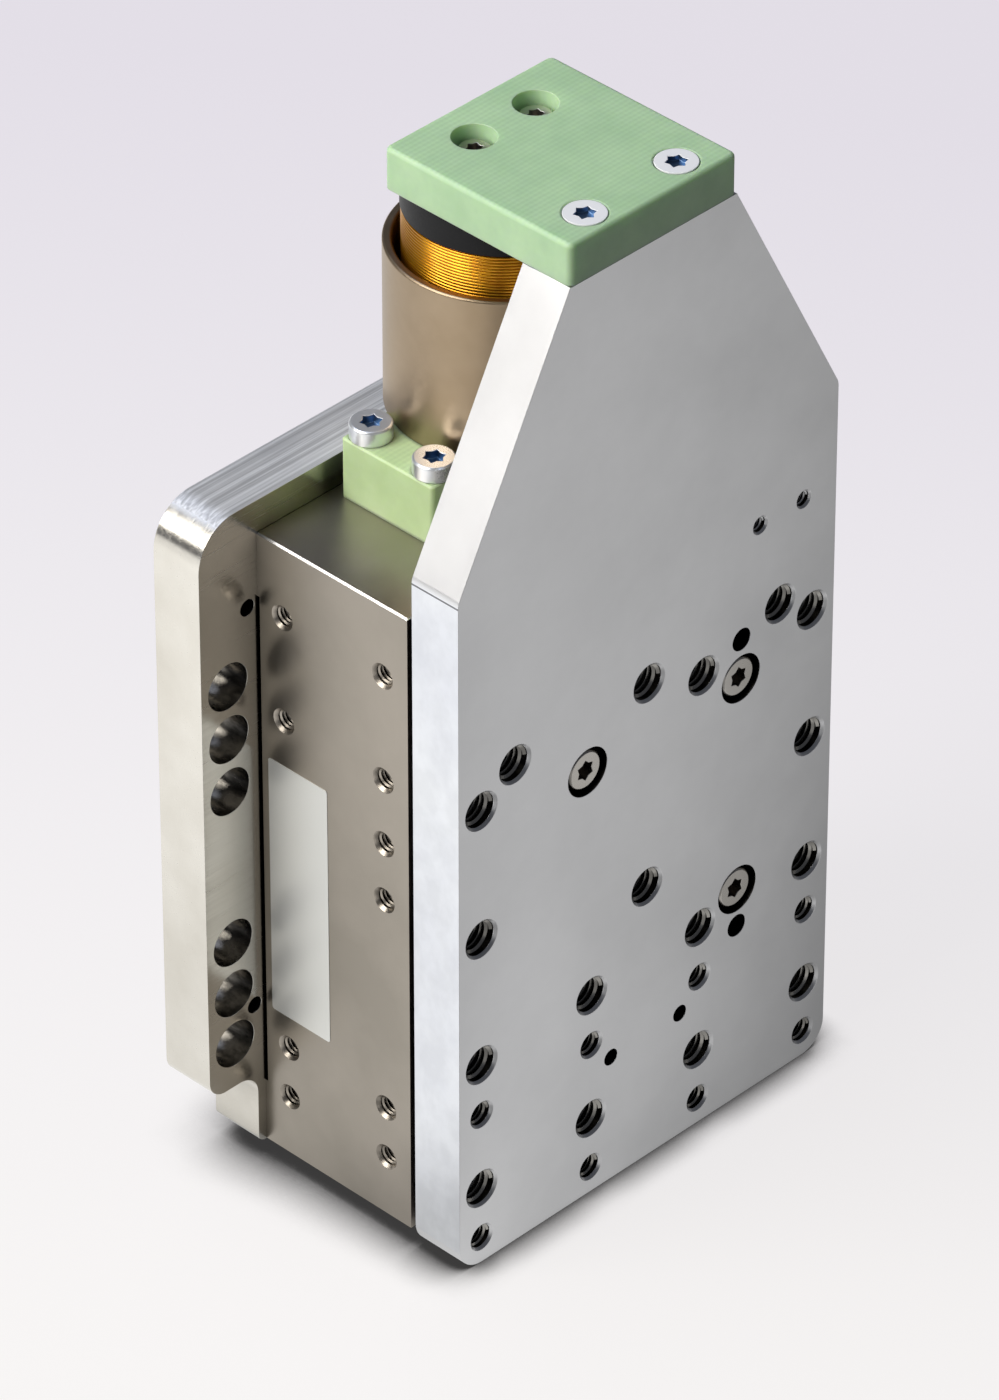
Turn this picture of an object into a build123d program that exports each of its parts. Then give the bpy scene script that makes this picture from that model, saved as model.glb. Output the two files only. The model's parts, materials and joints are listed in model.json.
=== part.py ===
from build123d import *
from math import cos, radians, sin
import os

# Flexure linear stage: a carriage plate that a voice coil lifts and lowers on a pair of folded
# parallel blade flexures. X is the width, Y the depth, Z the direction of travel.
# The origin is on the mounting (back) face of the base plate, at the centre of its hole pattern.
# All sizes are in millimetres.

os.makedirs("parts", exist_ok=True)

# Driving sizes: the carriage plate, the large plate with the hole field
plate_width = 85.0
plate_thick = 10.0
plate_height = 178.0
plate_top_width = 36.6       # flat top between the sloped shoulders
shoulder_drop = 46.5         # height of the sloped part
plate_corner = 5.0           # lower corners
shoulder_corner = 3.0
hole_margin = 5.0            # outer hole columns to the plate's side edges
edge_row = 15.0              # first hole row above the lower edge
high_row_rise = 5.0          # three more holes stand this much above the fourth row
high_row_set_in = 7.5        # and the outer two this much nearer the middle
middle_hole_rise = 15.0      # single middle hole above the second row
small_row_drop = 10.0        # smaller holes below and above the first row
small_row_rise = 15.0
pair_rise = 22.7             # pair of fine holes on the right
pair_pitch = 10.0
locating_hole_x = 8.0        # two plain locating holes beside the middle
locating_hole_rise = 10.0
m6_r, m6_rim_r = 3.1, 3.55   # bores, and the countersunk rims at the face
m4_r, m4_rim_r = 2.1, 2.55
m3_r, m3_rim_r = 1.35, 1.7
locating_r = 1.5

# Base plate, the wide plate behind the block
ear_width = 12.5             # how far it reaches past the block on each side
base_thick = 10.0
base_over = 6.0              # how far its top edge stands above the block
base_corner = 8.0            # large rounding of the upper corners
notch_height = 14.5          # cut under each ear
foot_set_in = 10.7           # ear edge to the foot's side
pattern_height = 62.0        # carriage plate's lower edge to the centre of the ear holes
base_rise = 3.5              # base and block stand this much above the carriage plate's edge
ear_hole_set_in = 5.8        # centres of the ear holes to the ear's edge
ear_hole_first = 15.0        # nearest rows above and below the pattern's centre
ear_hole_pitch = 10.2
ear_hole_r = 4.25
ear_pin_out = 2.2            # pin holes beside the block
ear_pin_rise = 46.8
ear_pin_fall = 31.5
ear_round = 3.5
notch_round = 4.0
foot_round = 1.5

# Flexure block, cut from one piece
block_thick = 33.0
block_height = 120.0
side_wall = 7.0
cross_bar = 12.0
back_relief = 0.5            # all but the two cross bars stays clear of the base plate
face_gap = 1.0               # running gap between the block and the carriage plate
post_width = 14.0
post_drop = 6.25
neck_gap = 5.0               # shuttle's neck to the fixed post
blade_thick = 0.5
blade_set_in = 1.25          # blade's middle to the end of the post or neck
bar_width = 5.5              # the floating stage bars
bar_gap = 1.0                # stage bar to side wall
bar_end_gap = 3.5
shuttle_gap = 3.0            # shuttle to stage bar
blade_clear = 2.5            # shuttle's body to the middle of the blade above it
window_corner = 1.5
bar_corner = 0.8
side_col = 11.0              # tapped columns in the side faces, either way from the middle
side_edge = 11.5             # lowest tapped row above the block's lower face
side_step = 10.0
side_top_edge = 13.5         # highest tapped row below the block's top face
side_extra_rise = 3.1        # two more holes in the front column, above the middle
side_r, side_rim_r = 1.75, 2.3
side_depth = 6.0

# Screws and pins that hold the carriage plate to the shuttle
fixing_set_in = 4.9          # right-hand screws and pins to the shuttle's edge
left_screw_set_in = 12.2
upper_pin_set_in = 3.9       # pins to the shuttle's upper and lower edge
lower_pin_set_in = 5.2
upper_screw_drop = 7.6       # screws below the upper pin and above the lower one
lower_screw_rise = 7.3
pin_dia = 4.0
pin_sunk = 3.0
pin_deep = 8.5               # how far the pins reach into the shuttle
head_sunk = 0.5

# Voice coil
axis_from_front = 31.7       # carriage plate's front face to the coil's axis
housing_dia = 38.1
housing_wall = 1.55
housing_floor = 4.0
coil_gap = 1.3               # housing's bore to the winding
coil_show = 13.5             # how much of the coil stands out of the housing
cap_height = 7.0             # black ring at the top of the coil
cap_over = 0.1               # ring over the winding
cap_chamfer = 1.5
tube_wall = 0.8
winding_thick = 1.6
coil_bottom_gap = 4.4
winding_rise = 0.6           # winding's lower end above the former's
magnet_dia = 24.0
pole_height = 5.0
pole_gap = 0.7               # pole piece to the coil's tube
pole_top_gap = 11.0

# Green laminate pieces
top_plate_thick = 7.5
top_plate_depth = 39.7
top_plate_round = 1.2
top_screw_x = 10.0
coil_screw_x = 6.7
bracket_depth = 20.0
bracket_height = 11.1
bracket_screw_out = 3.55     # bracket screws beside the housing's widest place
bracket_screw_y = 6.9
bracket_edge = 3.6           # bracket screws to the bracket's side
bracket_round = 0.8
housing_screw_x = 9.0

# Screws: head diameter, head height and shank diameter
m3_head, m3_head_h, m3_dia = 5.5, 3.0, 3.0
m4_head, m4_head_h, m4_dia = 7.0, 4.0, 4.0
m5_head, m5_head_h, m5_dia = 8.5, 5.0, 5.0
low_head_h = 2.8             # cheese heads on the bracket
flat_head_h = 1.8            # countersunk heads in the top plate
drive_share = 0.27           # drive's radius against the head's diameter
deep_sunk = 0.6              # heads of the screws that nobody sees, below their faces
coil_head_sunk = 2.0
small_edge = 0.3             # broken edges

# Clearances on the radius: a screw or pin in its own hole, a screw that passes through, a head
fit = 0.05
pass_fit = 0.2
head_fit = 0.9
hole_spare = 1.5             # a blind hole beyond its screw's end

# Derived places
block_width = plate_width
base_width = block_width + 2 * ear_width
base_height = block_height + base_over
hole_pitch = (plate_width - 2 * hole_margin) / 3

y_base_front = -base_thick
y_block_front = y_base_front - block_thick
y_plate_back = y_block_front - face_gap
y_front = y_plate_back - plate_thick
y_axis = y_front + axis_from_front
y_inner_back = y_base_front - back_relief

z_plate = -pattern_height
z_base = z_plate + base_rise
z_block_top = z_base + block_height
z_mid = z_base + block_height / 2
z_plate_top = z_plate + plate_height
z_bracket_top = z_block_top + bracket_height
z_rim = z_plate_top - coil_show
z_floor = z_bracket_top + housing_floor
z_coil = z_floor + coil_bottom_gap
z_cap = z_plate_top - cap_height

window_half_w = block_width / 2 - side_wall
window_half_h = block_height / 2 - cross_bar
bar_out = window_half_w - bar_gap
bar_in = bar_out - bar_width
post_end = window_half_h - post_drop
neck_end = post_end - neck_gap
outer_blade = post_end + blade_set_in
inner_blade = neck_end - blade_set_in
shuttle_half_h = inner_blade - blade_clear
shuttle_half_w = bar_in - shuttle_gap

y_top_mid = y_front + top_plate_depth / 2
z_top = z_plate_top + top_plate_thick
z_pole_top = z_cap - pole_top_gap
tube_out = housing_dia / 2 - housing_wall - coil_gap - winding_thick
tube_in = tube_out - tube_wall
coil_r = tube_out + winding_thick

# How far each kind of screw reaches below its head
carriage_screw_length = 18.0
base_screw_length = 16.0
bracket_screw_length = 20.0
housing_screw_length = bracket_height - m4_head_h - deep_sunk + housing_floor - 0.5
coil_screw_length = 8.5
top_screw_length = 19.0


# Planes and helpers
def front_plane(y):
    """Plane seen from the front: local x is X, local y is Z, it faces -Y."""
    return Plane(origin=(0, y, 0), x_dir=(1, 0, 0), z_dir=(0, -1, 0))


def back_plane(y):
    """Plane seen from behind: local x is -X, local y is Z, it faces +Y."""
    return Plane(origin=(0, y, 0), x_dir=(-1, 0, 0), z_dir=(0, 1, 0))


def side_plane(side):
    """Side face of the block: local y is Z and local x is Y, or -Y on the left side."""
    return Plane(origin=(side * block_width / 2, 0, 0), x_dir=(0, side, 0), z_dir=(side, 0, 0))


def up_plane(x, y, z):
    """Level plane facing up, with its origin at the point."""
    return Plane(origin=(x, y, z), x_dir=(1, 0, 0), z_dir=(0, 0, 1))


def at_front(x, z, y):
    """Plane facing -Y with its origin at the point, for a screw driven from the front."""
    return Plane(origin=(x, y, z), x_dir=(1, 0, 0), z_dir=(0, -1, 0))


def section_plane(place):
    """Plane through a screw's axis: local x is the radius, local y runs out of the head."""
    return Plane(origin=place.origin, x_dir=place.x_dir, z_dir=-place.y_dir)


def save(part, name):
    part.label = name
    export_step(part, f"parts/{name}.step")


def screw(place, head_dia, head_h, shank_dia, length, cone=False):
    """Screw with a star drive. The head's top is on the plane, the shank runs down."""
    r_head, r_shank, edge = head_dia / 2, shank_dia / 2, small_edge
    drive_r = head_dia * drive_share
    star = [
        (r * cos(radians(30 * n)), r * sin(radians(30 * n)))
        for n in range(12) for r in (drive_r * (1.0 if n % 2 else 0.72),)
    ]
    with BuildPart() as body:
        with BuildSketch(section_plane(place)):
            with BuildLine():
                if cone:
                    Polyline(
                        (0, 0), (r_head, 0), (r_head, -edge), (r_shank, -head_h),
                        (r_shank, -head_h - length), (0, -head_h - length), close=True,
                    )
                else:
                    Polyline(
                        (0, 0), (r_head - edge, 0), (r_head, -edge), (r_head, -head_h),
                        (r_shank, -head_h), (r_shank, -head_h - length),
                        (0, -head_h - length), close=True,
                    )
            make_face()
        revolve(axis=Axis(place.origin, place.z_dir))
        with BuildSketch(place):
            Polygon(*star, align=None)
        extrude(amount=-head_h / 2, mode=Mode.SUBTRACT)
    return body.part


def edges_at(part, *points):
    """Edges along Y that pass through the given (x, z) points."""
    found = []
    for edge in part.edges().filter_by(Axis.Y):
        c = edge.center()
        if any(abs(c.X - x) < 0.2 and abs(c.Z - z) < 0.2 for x, z in points):
            found.append(edge)
    return found


def box_between(x0, x1, y0, y1, z0, z1):
    """Plain bar between two corners, extruded from its lower face."""
    with BuildPart() as bar:
        with BuildSketch(up_plane((x0 + x1) / 2, (y0 + y1) / 2, z0)):
            Rectangle(x1 - x0, y1 - y0)
        extrude(amount=z1 - z0)
    return bar.part


# Hole and screw patterns
col_out, col_in = 1.5 * hole_pitch, 0.5 * hole_pitch
rows = [z_plate + edge_row + n * hole_pitch for n in range(4)]
m6_points = [(side * col_out, z) for side in (-1, 1) for z in rows]
m6_points += [(side * col_in, z) for side in (-1, 1) for z in rows[:2]]
m6_points += [(col_in, rows[3]), (0, rows[1] + middle_hole_rise)]
m6_points += [
    (x, rows[3] + high_row_rise) for x in (high_row_set_in - col_out, 0, col_out - high_row_set_in)
]
m4_points = [
    (side * col, z) for side in (-1, 1) for col in (col_out, col_in)
    for z in (rows[0] - small_row_drop, rows[0] + small_row_rise)
]
m3_points = [(hole_pitch + n * pair_pitch, rows[3] + pair_rise) for n in range(2)]
locating_points = [(side * locating_hole_x, rows[0] + locating_hole_rise) for side in (-1, 1)]

fixing_x = shuttle_half_w - fixing_set_in
left_x = left_screw_set_in - shuttle_half_w
z_upper_pin = z_mid + shuttle_half_h - upper_pin_set_in
z_lower_pin = z_mid - shuttle_half_h + lower_pin_set_in
z_upper_screw = z_upper_pin - upper_screw_drop
z_lower_screw = z_lower_pin + lower_screw_rise
pin_points = [(fixing_x, z_upper_pin), (fixing_x, z_lower_pin)]
carriage_screw_points = [
    (left_x, z_upper_screw), (fixing_x, z_upper_screw), (fixing_x, z_lower_screw)
]

ear_x = base_width / 2 - ear_hole_set_in
ear_points = [
    (sx * ear_x, sz * (ear_hole_first + n * ear_hole_pitch))
    for sx in (-1, 1) for sz in (-1, 1) for n in range(3)
]
ear_pin_points = [
    (sx * (block_width / 2 + ear_pin_out), z)
    for sx in (-1, 1) for z in (z_mid + ear_pin_rise, z_mid - ear_pin_fall)
]

y_block_mid = y_block_front + block_thick / 2
z_side_top = z_block_top - side_top_edge
side_rows = [
    z_base + side_edge, z_base + side_edge + side_step, z_side_top - 2 * side_step, z_side_top
]
side_extra_rows = [z_mid + side_extra_rise, z_mid + side_extra_rise + side_col]

bracket_screw_x = housing_dia / 2 + bracket_screw_out
bracket_width = 2 * (bracket_screw_x + bracket_edge)
bracket_points = [
    (sx * bracket_screw_x, sy * bracket_screw_y) for sx in (-1, 1) for sy in (-1, 1)
]
housing_points = [(-housing_screw_x, 0), (housing_screw_x, 0)]
base_screw_x = (bracket_screw_x + block_width / 2) / 2
base_points = [
    (sx * base_screw_x, z)
    for sx in (-1, 1) for z in (z_base + cross_bar / 2, z_block_top - cross_bar / 2)
]
y_plate_mid = y_front + plate_thick / 2

# Carriage plate
z_shoulder = z_plate_top - shoulder_drop
with BuildPart() as carriage_plate:
    with BuildSketch(front_plane(y_front)):
        with BuildLine():
            Polyline(
                (-plate_width / 2, z_plate), (plate_width / 2, z_plate),
                (plate_width / 2, z_shoulder), (plate_top_width / 2, z_plate_top),
                (-plate_top_width / 2, z_plate_top), (-plate_width / 2, z_shoulder), close=True,
            )
        make_face()
    extrude(amount=-plate_thick)
    half = plate_width / 2
    fillet(edges_at(carriage_plate, (-half, z_plate), (half, z_plate)), plate_corner)
    fillet(edges_at(carriage_plate, (-half, z_shoulder), (half, z_shoulder)), shoulder_corner)
    with Locations(front_plane(y_front)):
        with Locations(*m6_points):
            CounterSinkHole(radius=m6_r, counter_sink_radius=m6_rim_r, counter_sink_angle=90)
        with Locations(*m4_points):
            CounterSinkHole(radius=m4_r, counter_sink_radius=m4_rim_r, counter_sink_angle=90)
        with Locations(*m3_points):
            CounterSinkHole(radius=m3_r, counter_sink_radius=m3_rim_r, counter_sink_angle=90)
        with Locations(*locating_points):
            Hole(radius=locating_r)
        with Locations(*pin_points):
            Hole(radius=pin_dia / 2 + fit)
        with Locations(*carriage_screw_points):
            CounterBoreHole(radius=m4_dia / 2 + pass_fit, counter_bore_radius=m4_head / 2 + head_fit,
                            counter_bore_depth=m4_head_h + head_sunk)
    with Locations(up_plane(0, y_plate_mid, z_plate_top)):
        with Locations((-top_screw_x, 0), (top_screw_x, 0)):
            Hole(radius=m4_dia / 2 + fit,
                 depth=flat_head_h + top_screw_length - top_plate_thick + hole_spare)
save(carriage_plate.part, "carriage_plate")

# Base plate
foot = base_width / 2 - foot_set_in
z_notch = z_base + notch_height
z_base_top = z_base + base_height
with BuildPart() as base_plate:
    with BuildSketch(front_plane(y_base_front)):
        with BuildLine():
            Polyline(
                (-foot, z_base), (foot, z_base), (foot, z_notch), (base_width / 2, z_notch),
                (base_width / 2, z_base_top), (-base_width / 2, z_base_top),
                (-base_width / 2, z_notch), (-foot, z_notch), close=True,
            )
        make_face()
    extrude(amount=-base_thick)
    half = base_width / 2
    fillet(edges_at(base_plate, (-half, z_base_top), (half, z_base_top)), base_corner)
    fillet(edges_at(base_plate, (-half, z_notch), (half, z_notch)), ear_round)
    fillet(edges_at(base_plate, (-foot, z_notch), (foot, z_notch)), notch_round)
    fillet(edges_at(base_plate, (-foot, z_base), (foot, z_base)), foot_round)
    with Locations(front_plane(y_base_front)):
        with Locations(*ear_points):
            Hole(radius=ear_hole_r)
        with Locations(*ear_pin_points):
            Hole(radius=locating_r)
    with Locations(back_plane(0)):
        with Locations(*base_points):
            CounterBoreHole(radius=m5_dia / 2 + pass_fit, counter_bore_radius=m5_head / 2 + fit * 10,
                            counter_bore_depth=m5_head_h + deep_sunk)
save(base_plate.part, "base_plate")

# Flexure block: fixed frame
# A ring with one post above and one below that carry the inner ends of the outer blades. Only the
# two cross bars touch the base plate, the side walls are relieved.
with BuildPart() as flexure_frame:
    with BuildSketch(front_plane(y_block_front)):
        with Locations((0, z_mid)):
            Rectangle(block_width, block_height)
            Rectangle(2 * window_half_w, 2 * window_half_h, mode=Mode.SUBTRACT)
    extrude(amount=-block_thick)
    with BuildSketch(front_plane(y_inner_back)):
        with Locations((0, z_mid)):
            Rectangle(block_width + 2, 2 * window_half_h)
    extrude(amount=-2 * back_relief, mode=Mode.SUBTRACT)
    with BuildSketch(front_plane(y_block_front)):
        for side in (-1, 1):
            with Locations((0, z_mid + side * (window_half_h - post_drop / 2 + 0.5))):
                Rectangle(post_width, post_drop + 1)
    extrude(amount=-(block_thick - back_relief))
    inner_corners = [
        (sx * window_half_w, z_mid + sz * window_half_h) for sx in (-1, 1) for sz in (-1, 1)
    ]
    fillet(edges_at(flexure_frame, *inner_corners), window_corner)
    # Tapped rows in both side faces
    for side in (-1, 1):
        middle = side * y_block_mid
        with Locations(side_plane(side)):
            with Locations(
                *[(middle + sy * side_col, z) for sy in (-1, 1) for z in side_rows],
                *[(middle - side * side_col, z) for z in side_extra_rows],
            ):
                CounterSinkHole(radius=side_r, depth=side_depth, counter_sink_radius=side_rim_r,
                                counter_sink_angle=90)
    # Threads for the coil's bracket, in the top bar
    with Locations(up_plane(0, y_axis, z_block_top)):
        with Locations(*bracket_points):
            Hole(radius=m4_dia / 2 + fit,
                 depth=bracket_screw_length - bracket_height + hole_spare)
    # Threads for the screws from the base plate
    with Locations(back_plane(y_base_front)):
        with Locations(*base_points):
            Hole(radius=m5_dia / 2 + fit,
                 depth=base_screw_length + m5_head_h + deep_sunk - base_thick + hole_spare)
save(flexure_frame.part, "flexure_frame")

# Flexure block: moving pieces
for side, word in ((-1, "left"), (1, "right")):
    x0, x1 = sorted((side * bar_in, side * bar_out))
    bar_half = window_half_h - bar_end_gap
    with BuildPart() as stage_bar:
        with BuildSketch(front_plane(y_block_front)):
            with Locations(((x0 + x1) / 2, z_mid)):
                Rectangle(bar_width, 2 * bar_half)
        extrude(amount=-(block_thick - back_relief))
        fillet(stage_bar.edges().filter_by(Axis.Y), bar_corner)
    save(stage_bar.part, f"stage_bar_{word}")

with BuildPart() as shuttle:
    with BuildSketch(front_plane(y_block_front)):
        with Locations((0, z_mid)):
            Rectangle(2 * shuttle_half_w, 2 * shuttle_half_h)
            Rectangle(post_width, 2 * neck_end)
    extrude(amount=-(block_thick - back_relief))
    # Raised pad that meets the carriage plate
    with BuildSketch(front_plane(y_plate_back)):
        with Locations((0, z_mid)):
            Rectangle(2 * shuttle_half_w, 2 * shuttle_half_h)
    extrude(amount=-face_gap)
    with Locations(front_plane(y_plate_back)):
        with Locations(*carriage_screw_points):
            Hole(radius=m4_dia / 2 + fit,
                 depth=carriage_screw_length + m4_head_h + head_sunk - plate_thick + hole_spare)
        with Locations(*pin_points):
            Hole(radius=pin_dia / 2 + fit, depth=pin_deep + hole_spare)
save(shuttle.part, "flexure_shuttle")

# Eight leaf blades. The outer four join the fixed posts to the floating bars, the inner four join
# the bars to the shuttle's necks.
for level, up in (("lower", -1), ("upper", 1)):
    for kind, height in (("outer", outer_blade), ("inner", inner_blade)):
        for side, word in ((-1, "left"), (1, "right")):
            x0, x1 = sorted((side * post_width / 2, side * bar_in))
            z_blade = z_mid + up * height
            with BuildPart() as blade:
                with BuildSketch(front_plane(y_block_front)):
                    with Locations(((x0 + x1) / 2, z_blade)):
                        Rectangle(x1 - x0, blade_thick)
                extrude(amount=-(block_thick - back_relief))
            save(blade.part, f"blade_{level}_{kind}_{word}")

# Coil's bracket and magnet housing
with BuildPart() as bracket:
    with BuildSketch(up_plane(0, y_axis, z_block_top)):
        Rectangle(bracket_width, bracket_depth)
    extrude(amount=bracket_height)
    fillet(bracket.edges().filter_by(Axis.Z), bracket_round)
    chamfer(bracket.faces().sort_by(Axis.Z)[-1].edges(), small_edge)
    with Locations(up_plane(0, y_axis, z_bracket_top)):
        with Locations(*bracket_points):
            Hole(radius=m4_dia / 2 + pass_fit)
    under = Plane(origin=(0, y_axis, z_block_top), x_dir=(1, 0, 0), z_dir=(0, 0, -1))
    with Locations(under):
        with Locations(*housing_points):
            CounterBoreHole(radius=m4_dia / 2 + pass_fit, counter_bore_radius=m4_head / 2 + fit * 8,
                            counter_bore_depth=m4_head_h + deep_sunk)
save(bracket.part, "magnet_bracket")

with BuildPart() as housing:
    with BuildSketch(up_plane(0, y_axis, z_bracket_top)):
        Circle(housing_dia / 2)
    extrude(amount=z_rim - z_bracket_top)
    with BuildSketch(up_plane(0, y_axis, z_floor)):
        Circle(housing_dia / 2 - housing_wall)
    extrude(amount=z_rim - z_floor, mode=Mode.SUBTRACT)
    rim = housing.edges().filter_by(GeomType.CIRCLE).group_by(Axis.Z)[-1]
    chamfer(rim, small_edge)
    with Locations(Plane(origin=(0, y_axis, z_bracket_top), x_dir=(1, 0, 0), z_dir=(0, 0, -1))):
        with Locations(*housing_points):
            Hole(radius=m4_dia / 2 + fit, depth=housing_floor)
save(housing.part, "magnet_housing")

with BuildPart() as magnet:
    with BuildSketch(up_plane(0, y_axis, z_floor)):
        Circle(magnet_dia / 2)
    extrude(amount=z_pole_top - pole_height - z_floor)
save(magnet.part, "magnet")

with BuildPart() as pole:
    with BuildSketch(up_plane(0, y_axis, z_pole_top - pole_height)):
        Circle(tube_in - pole_gap)
    extrude(amount=pole_height)
    chamfer(pole.edges().group_by(Axis.Z)[-1], small_edge)
save(pole.part, "pole_piece")

# Moving coil
with BuildPart() as former:
    with BuildSketch(up_plane(0, y_axis, z_cap)):
        Circle(coil_r + cap_over)
    extrude(amount=cap_height)
    chamfer(former.edges().group_by(Axis.Z)[-1], cap_chamfer)
    with BuildSketch(up_plane(0, y_axis, z_coil)):
        Circle(tube_out)
        Circle(tube_in, mode=Mode.SUBTRACT)
    extrude(amount=z_cap - z_coil)
    with Locations(up_plane(0, y_axis, z_plate_top)):
        with Locations((-coil_screw_x, 0), (coil_screw_x, 0)):
            Hole(radius=m3_dia / 2 + fit, depth=cap_height + hole_spare)
save(former.part, "coil_former")

with BuildPart() as winding:
    with BuildSketch(up_plane(0, y_axis, z_coil + winding_rise)):
        Circle(coil_r)
        Circle(tube_out, mode=Mode.SUBTRACT)
    extrude(amount=z_cap - z_coil - winding_rise)
save(winding.part, "coil_winding")

# Top plate over coil and carriage
with BuildPart() as top_plate:
    with BuildSketch(up_plane(0, y_top_mid, z_plate_top)):
        Rectangle(plate_top_width, top_plate_depth)
    extrude(amount=top_plate_thick)
    fillet(top_plate.edges().filter_by(Axis.Z), top_plate_round)
    fillet(top_plate.faces().sort_by(Axis.Z)[-1].edges(), top_plate_round * 0.7)
    with Locations(up_plane(0, y_plate_mid, z_top)):
        with Locations((-top_screw_x, 0), (top_screw_x, 0)):
            CounterSinkHole(radius=m4_dia / 2 + fit, counter_sink_radius=m4_head / 2 + small_edge + fit,
                            counter_sink_angle=90)
    with Locations(up_plane(0, y_axis, z_top)):
        with Locations((-coil_screw_x, 0), (coil_screw_x, 0)):
            CounterBoreHole(radius=m3_dia / 2 + pass_fit, counter_bore_radius=m3_head / 2 + head_fit,
                            counter_bore_depth=m3_head_h + coil_head_sunk)
save(top_plate.part, "coil_top_plate")

# Screws and pins
for n, (x, z) in enumerate(carriage_screw_points, 1):
    place = at_front(x, z, y_front + head_sunk)
    save(screw(place, m4_head, m4_head_h, m4_dia, carriage_screw_length), f"carriage_screw_{n}")

for n, (x, z) in enumerate(pin_points, 1):
    with BuildPart() as pin:
        with BuildSketch(front_plane(y_front + pin_sunk)):
            with Locations((x, z)):
                Circle(pin_dia / 2)
        extrude(amount=-(plate_thick - pin_sunk + pin_deep))
        chamfer(pin.edges().filter_by(GeomType.CIRCLE), small_edge)
    save(pin.part, f"carriage_pin_{n}")

for n, sx in enumerate((-1, 1), 1):
    place = up_plane(sx * top_screw_x, y_plate_mid, z_top)
    save(screw(place, m4_head, flat_head_h, m4_dia, top_screw_length, cone=True), f"top_screw_{n}")
    place = up_plane(sx * coil_screw_x, y_axis, z_top - coil_head_sunk)
    save(screw(place, m3_head, m3_head_h, m3_dia, coil_screw_length), f"coil_screw_{n}")

for n, (x, y) in enumerate(bracket_points, 1):
    place = up_plane(x, y_axis + y, z_bracket_top + low_head_h)
    save(screw(place, m4_head, low_head_h, m4_dia, bracket_screw_length), f"bracket_screw_{n}")

for n, (x, y) in enumerate(housing_points, 1):
    place = Plane(
        origin=(x, y_axis + y, z_block_top + deep_sunk), x_dir=(1, 0, 0), z_dir=(0, 0, -1)
    )
    save(screw(place, m4_head, m4_head_h, m4_dia, housing_screw_length), f"housing_screw_{n}")

for n, (x, z) in enumerate(base_points, 1):
    place = Plane(origin=(x, -deep_sunk, z), x_dir=(-1, 0, 0), z_dir=(0, 1, 0))
    save(screw(place, m5_head, m5_head_h, m5_dia, base_screw_length), f"base_screw_{n}")
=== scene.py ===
# %% [markdown]
# # A flexure linear stage, dressed in Blender
# The imported CAD model is the frame: every piece keeps its place and size, in metres, with Z up.
# This lesson gives the pieces broken edges and real finishes, and adds the small parts that the
# CAD model leaves out: thread inserts, the wound wire, a blank foil label and blades cut in strips.

# %% Load the frame
import json
import math

import bpy
from mathutils import Matrix, Vector
from mathutils.bvhtree import BVHTree


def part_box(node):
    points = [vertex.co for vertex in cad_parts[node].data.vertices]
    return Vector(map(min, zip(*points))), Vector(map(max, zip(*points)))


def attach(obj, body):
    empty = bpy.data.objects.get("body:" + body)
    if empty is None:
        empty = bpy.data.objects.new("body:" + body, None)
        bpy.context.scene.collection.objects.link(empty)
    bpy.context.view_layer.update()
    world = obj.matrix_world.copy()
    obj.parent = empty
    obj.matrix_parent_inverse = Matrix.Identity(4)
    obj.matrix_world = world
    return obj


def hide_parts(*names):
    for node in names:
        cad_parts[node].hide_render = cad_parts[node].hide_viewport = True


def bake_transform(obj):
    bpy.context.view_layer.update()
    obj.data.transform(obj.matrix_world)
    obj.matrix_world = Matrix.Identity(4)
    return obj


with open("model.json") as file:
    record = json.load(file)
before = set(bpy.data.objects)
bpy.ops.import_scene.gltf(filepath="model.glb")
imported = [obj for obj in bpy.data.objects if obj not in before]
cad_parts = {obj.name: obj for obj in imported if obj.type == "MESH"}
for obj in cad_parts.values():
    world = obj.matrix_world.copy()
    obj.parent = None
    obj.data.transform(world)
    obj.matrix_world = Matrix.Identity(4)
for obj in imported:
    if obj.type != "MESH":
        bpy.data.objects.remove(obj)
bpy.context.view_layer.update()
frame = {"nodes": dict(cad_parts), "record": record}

MM = 0.001
MERGE = 0.002 * MM        # points closer than this are one point
SAME_PLACE = 0.02 * MM    # places closer than this are the same place
print("frame holds", len(frame["nodes"]), "nodes")

# %% [markdown]
# Colours are written as sRGB hex, the way a colour picker shows them, and one function turns them
# to the linear values that the renderer works in. A second function adds a shader node: its
# settings come as a dict, and its inputs as values or as sockets to link. The short functions after
# it make the few nodes that nearly every finish here needs.

# %% Colour and node helpers
def colour(code):
    """'#rrggbb' in sRGB to linear RGBA."""
    out = []
    for k in (1, 3, 5):
        c = int(code[k:k + 2], 16) / 255
        out.append(c / 12.92 if c <= 0.04045 else ((c + 0.055) / 1.055) ** 2.4)
    return (*out, 1.0)


def add(tree, kind, settings=None, inputs=None):
    """Adds a node. Inputs are keyed by socket name or number."""
    node = tree.nodes.new("ShaderNode" + kind)
    for key, value in (settings or {}).items():
        setattr(node, key, value)
    for key, value in (inputs or {}).items():
        if isinstance(value, bpy.types.NodeSocket):
            tree.links.new(value, node.inputs[key])
        else:
            node.inputs[key].default_value = value
    return node


def remap(tree, value, low, high, to_low=0.0, to_high=1.0):
    """Takes low..high to to_low..to_high and clamps."""
    return add(tree, "MapRange", inputs={
        "Value": value, "From Min": low, "From Max": high,
        "To Min": to_low, "To Max": to_high}).outputs[0]


def times(tree, first, second):
    return add(tree, "Math", {"operation": "MULTIPLY"}, {0: first, 1: second}).outputs[0]


def shaded(tree, tint, grey):
    """The tint multiplied by a grey colour or by a socket."""
    return add(tree, "Mix", {"data_type": "RGBA", "blend_type": "MULTIPLY"}, {
        "Factor": 1.0, 6: tint, 7: grey}).outputs[2]


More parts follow.
